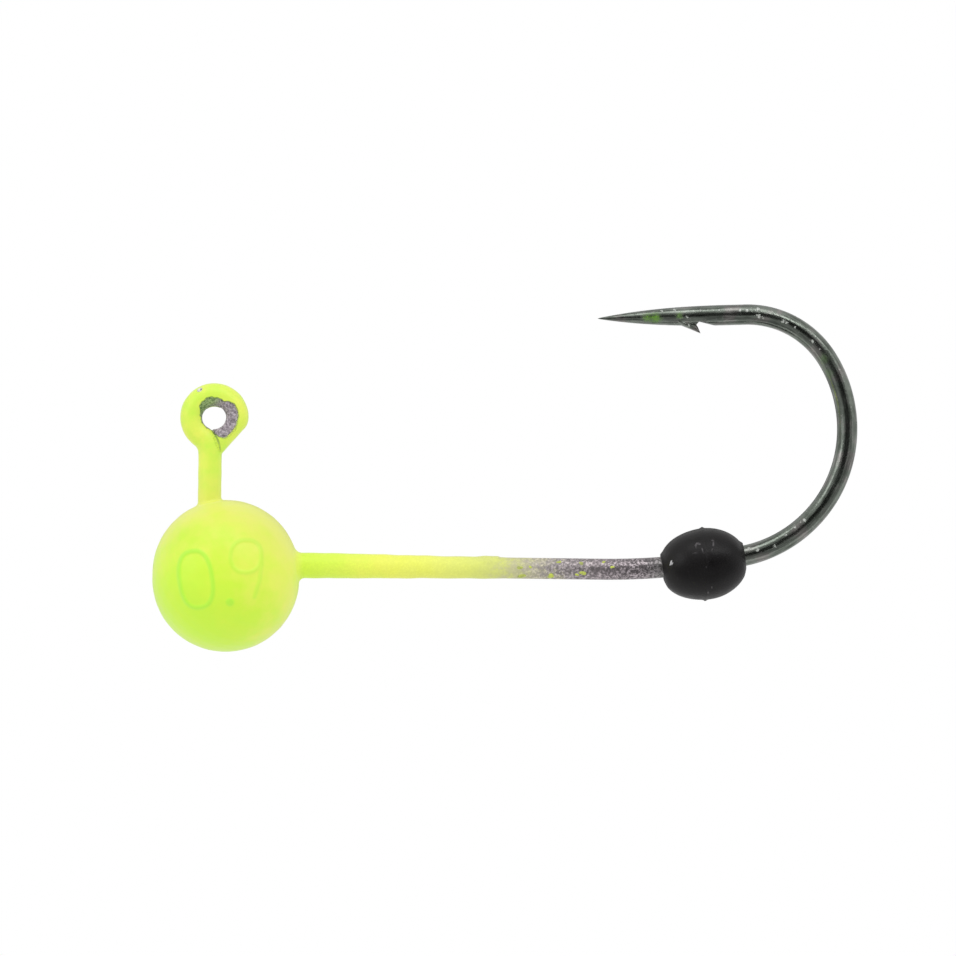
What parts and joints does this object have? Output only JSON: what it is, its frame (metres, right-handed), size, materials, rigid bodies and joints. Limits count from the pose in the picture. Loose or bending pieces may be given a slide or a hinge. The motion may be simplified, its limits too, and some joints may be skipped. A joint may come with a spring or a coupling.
{
  "type": "jig head",
  "caption": "Round-ball jig head: long-shank barbed hook with a standing line eye, cast weight, lacquer coat and a rubber stopper bead at the bend.",
  "frame": {"origin": "centre of the line eye's hole, in the plane of the hook", "axes": "+X along the shank from the eye to the bend, +Y through the eye, +Z from the shank to the point"},
  "size_m": [0.0265, 0.0056, 0.0133],
  "materials": {
    "plated_wire": "black nickel plate over carbon steel wire",
    "cast_lead": null,
    "lacquer": "fluorescent chartreuse powder lacquer, glossy",
    "bead_rubber": "moulded matte black rubber"
  },
  "bodies": {
    "jig": {"hook": "plated_wire", "head_casting": "cast_lead", "lacquer_coat": "lacquer"},
    "bead": {"stopper_bead": "bead_rubber"}
  },
  "joints": [
    {"name": "bead_travel", "type": "hinge", "parent": "jig", "child": "bead", "pos_m": [0.01462, 0, 0.01968], "axis": [0, 1, 0], "range_deg": [0, 7.5]}
  ]
}
